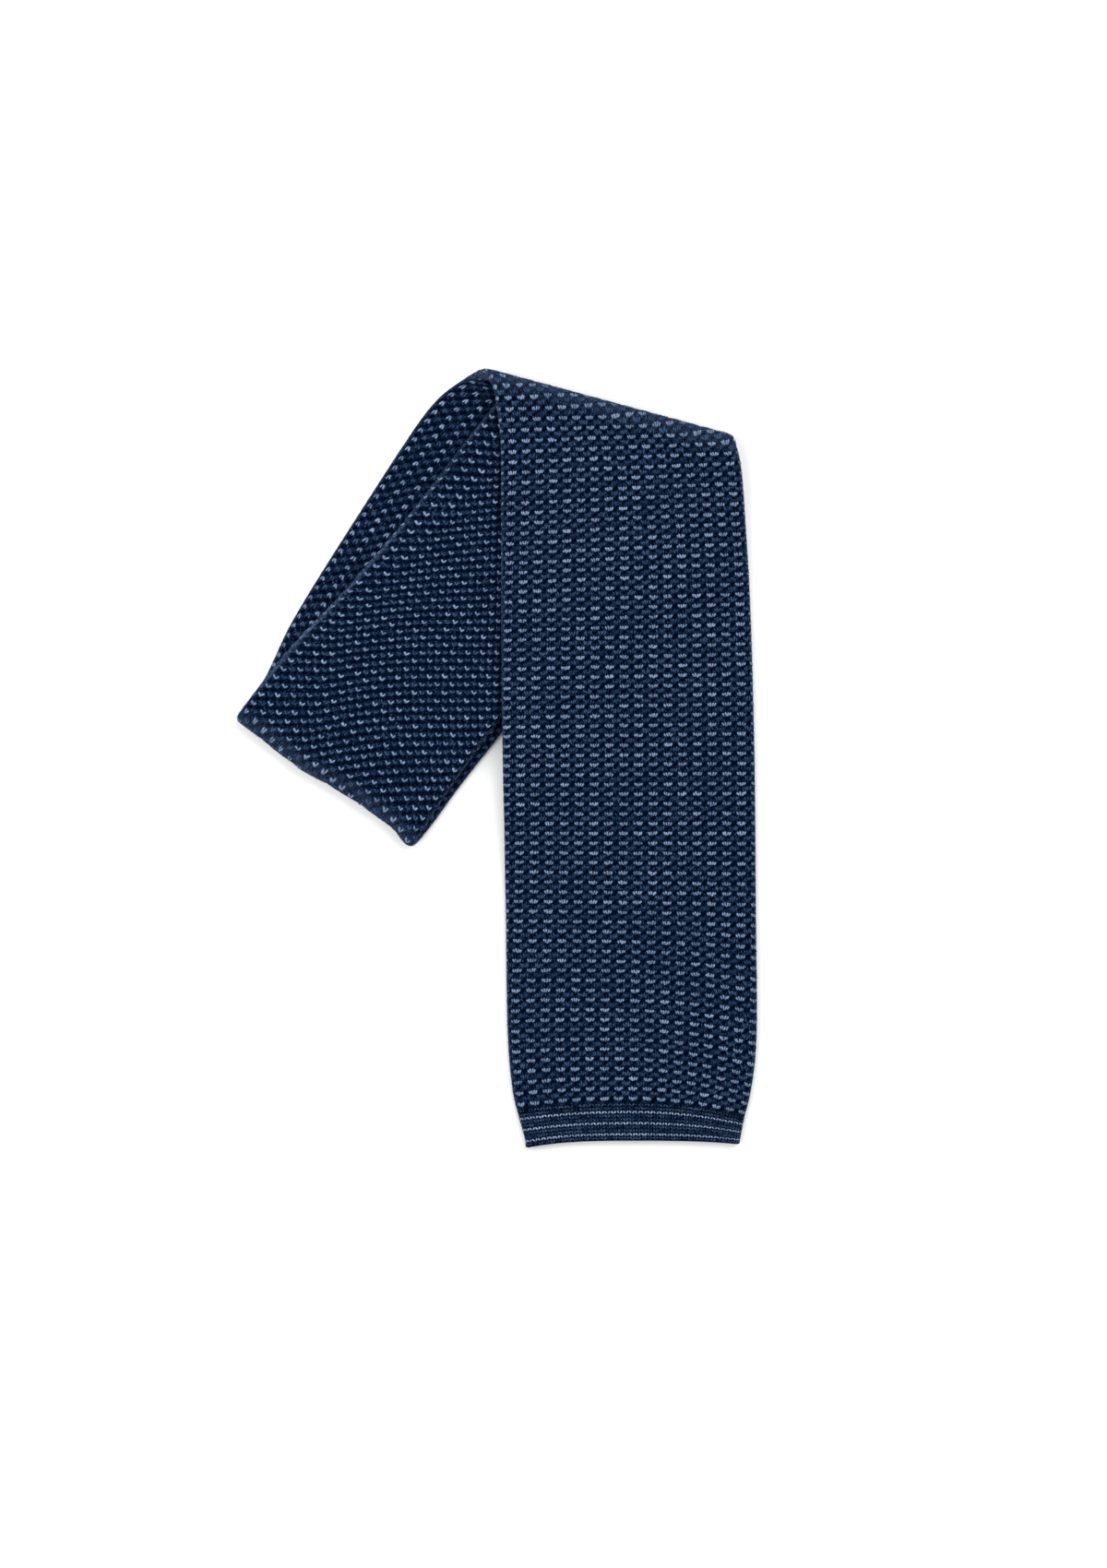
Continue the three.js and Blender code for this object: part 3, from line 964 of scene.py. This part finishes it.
fuzzYarn = {
    "streaks": None,
    "fibreScale": 500,
    "toneSpread": 0.15,
    "toneMiddle": 0.25,
    "crestShadeSpread": 0.0,
    "fibreSpread": 0.5,
    "paintedSheen": 0.0,
    "colours": [(0.1, (0.01, 0.018, 0.04)), (0.9, (0.11, 0.15, 0.23)), (0.5, (0.04, 0.06, 0.11))],
    "bump": 0.0,
    "bumpHeight": 0.0001,
    "gloss": 0.0,
    "sheen": 0.0,
    "sheenTint": (0.6, 0.7, 0.9),
}


def addPiece(piece, material):
    piece.data.materials.append(material)
    print(f"{piece.name}: {len(piece.data.polygons)} faces")
    return piece


random = np.random.default_rng(7)
wools = {
    "light": yarnMaterial("light_wool", lightYarn),
    "navy": yarnMaterial("navy_wool", navyYarn),
    "deep": yarnMaterial("deep_wool", deepYarn),
}
skin = addPiece(knitSkin(), yarnMaterial("ground_wool", groundYarn))
knitPieces = [addPiece(knitStitches(kind, part, random), wools[kind])
              for part in splits for kind in stitchLooks]
knitPieces.append(addPiece(looseYarn("flecks", flecksLook, random), wools["navy"]))
knitPieces.append(addPiece(looseYarn("fuzz", fuzzLook, random), yarnMaterial("fuzz_wool", fuzzYarn)))
hemPiece = addPiece(hemSkin(), yarnMaterial("hem_ground_wool", hemGround))
hemPieces = [addPiece(hemStitches(kind, random), yarnMaterial(f"hem_{kind}_wool", look))
             for kind, look in (("light", hemLight), ("navy", hemYarn))]

for piece in [skin, *knitPieces]:
    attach(piece, "root")
for piece in [hemPiece, *hemPieces]:
    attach(piece, "root")
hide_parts("knit_tube")
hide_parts("blade_hem")


# The room: a pale floor, a big soft light up and to the left, and a camera straight above.
room = {
    "floorSize": 4.0,
    "floorColour": (0.92, 0.92, 0.92),
    "imageSize": (1200, 1700),
    "scale": 0.220588,  # mm for each pixel of the image
    "originPixel": (539.5, 821.75),
    "cameraHeight": 1.5,
    "sensor": 36.0,
    "lights": [  # name, place, size, power in watts
        ("key", (0.45, 0.6, 1.0), 1.0, 10.5),
        ("fill", (-0.7, -0.1, 0.9), 1.0, 8.0),
    ],
    "world": 0.68,
}


def makeFloor():
    bpy.ops.object.select_all(action="DESELECT")
    bpy.ops.mesh.primitive_plane_add(size=room["floorSize"], location=(0, 0, 0))
    floor = bpy.context.object
    floor.name = "floor"
    paper = bpy.data.materials.new("pale_paper")
    paper.use_nodes = True
    shader = paper.node_tree.nodes["Principled BSDF"]
    shader.inputs["Base Color"].default_value = (*room["floorColour"], 1)
    shader.inputs["Roughness"].default_value = 0.9
    shader.inputs["Specular IOR Level"].default_value = 0.1
    floor.data.materials.append(paper)


def makeLights():
    for name, at, size, power in room["lights"]:
        light = bpy.data.lights.new(name, "AREA")
        light.shape = "DISK"
        light.size = size
        light.energy = power
        lamp = bpy.data.objects.new(name, light)
        lamp.location = at
        lamp.rotation_euler = (-Vector(at)).to_track_quat("-Z", "Y").to_euler()
        bpy.context.scene.collection.objects.link(lamp)
    world = bpy.data.worlds.new("soft_room")
    world.use_nodes = True
    world.node_tree.nodes["Background"].inputs["Color"].default_value = (1, 1, 1, 1)
    world.node_tree.nodes["Background"].inputs["Strength"].default_value = room["world"]
    bpy.context.scene.world = world


def makeCamera():
    wide, high = room["imageSize"]
    camera = bpy.data.cameras.new("camera")
    camera.sensor_fit = "VERTICAL"
    camera.sensor_height = room["sensor"]
    frameHeight = high * room["scale"] * mm
    camera.lens = room["sensor"] * room["cameraHeight"] / frameHeight
    eye = bpy.data.objects.new("camera", camera)
    eye.location = (
        (wide / 2 - room["originPixel"][0]) * room["scale"] * mm,
        (room["originPixel"][1] - high / 2) * room["scale"] * mm,
        room["cameraHeight"],
    )
    bpy.context.scene.collection.objects.link(eye)
    bpy.context.scene.camera = eye


makeFloor()
makeLights()
makeCamera()
bpy.context.scene.view_settings.view_transform = "Standard"

bpy.context.view_layer.update()
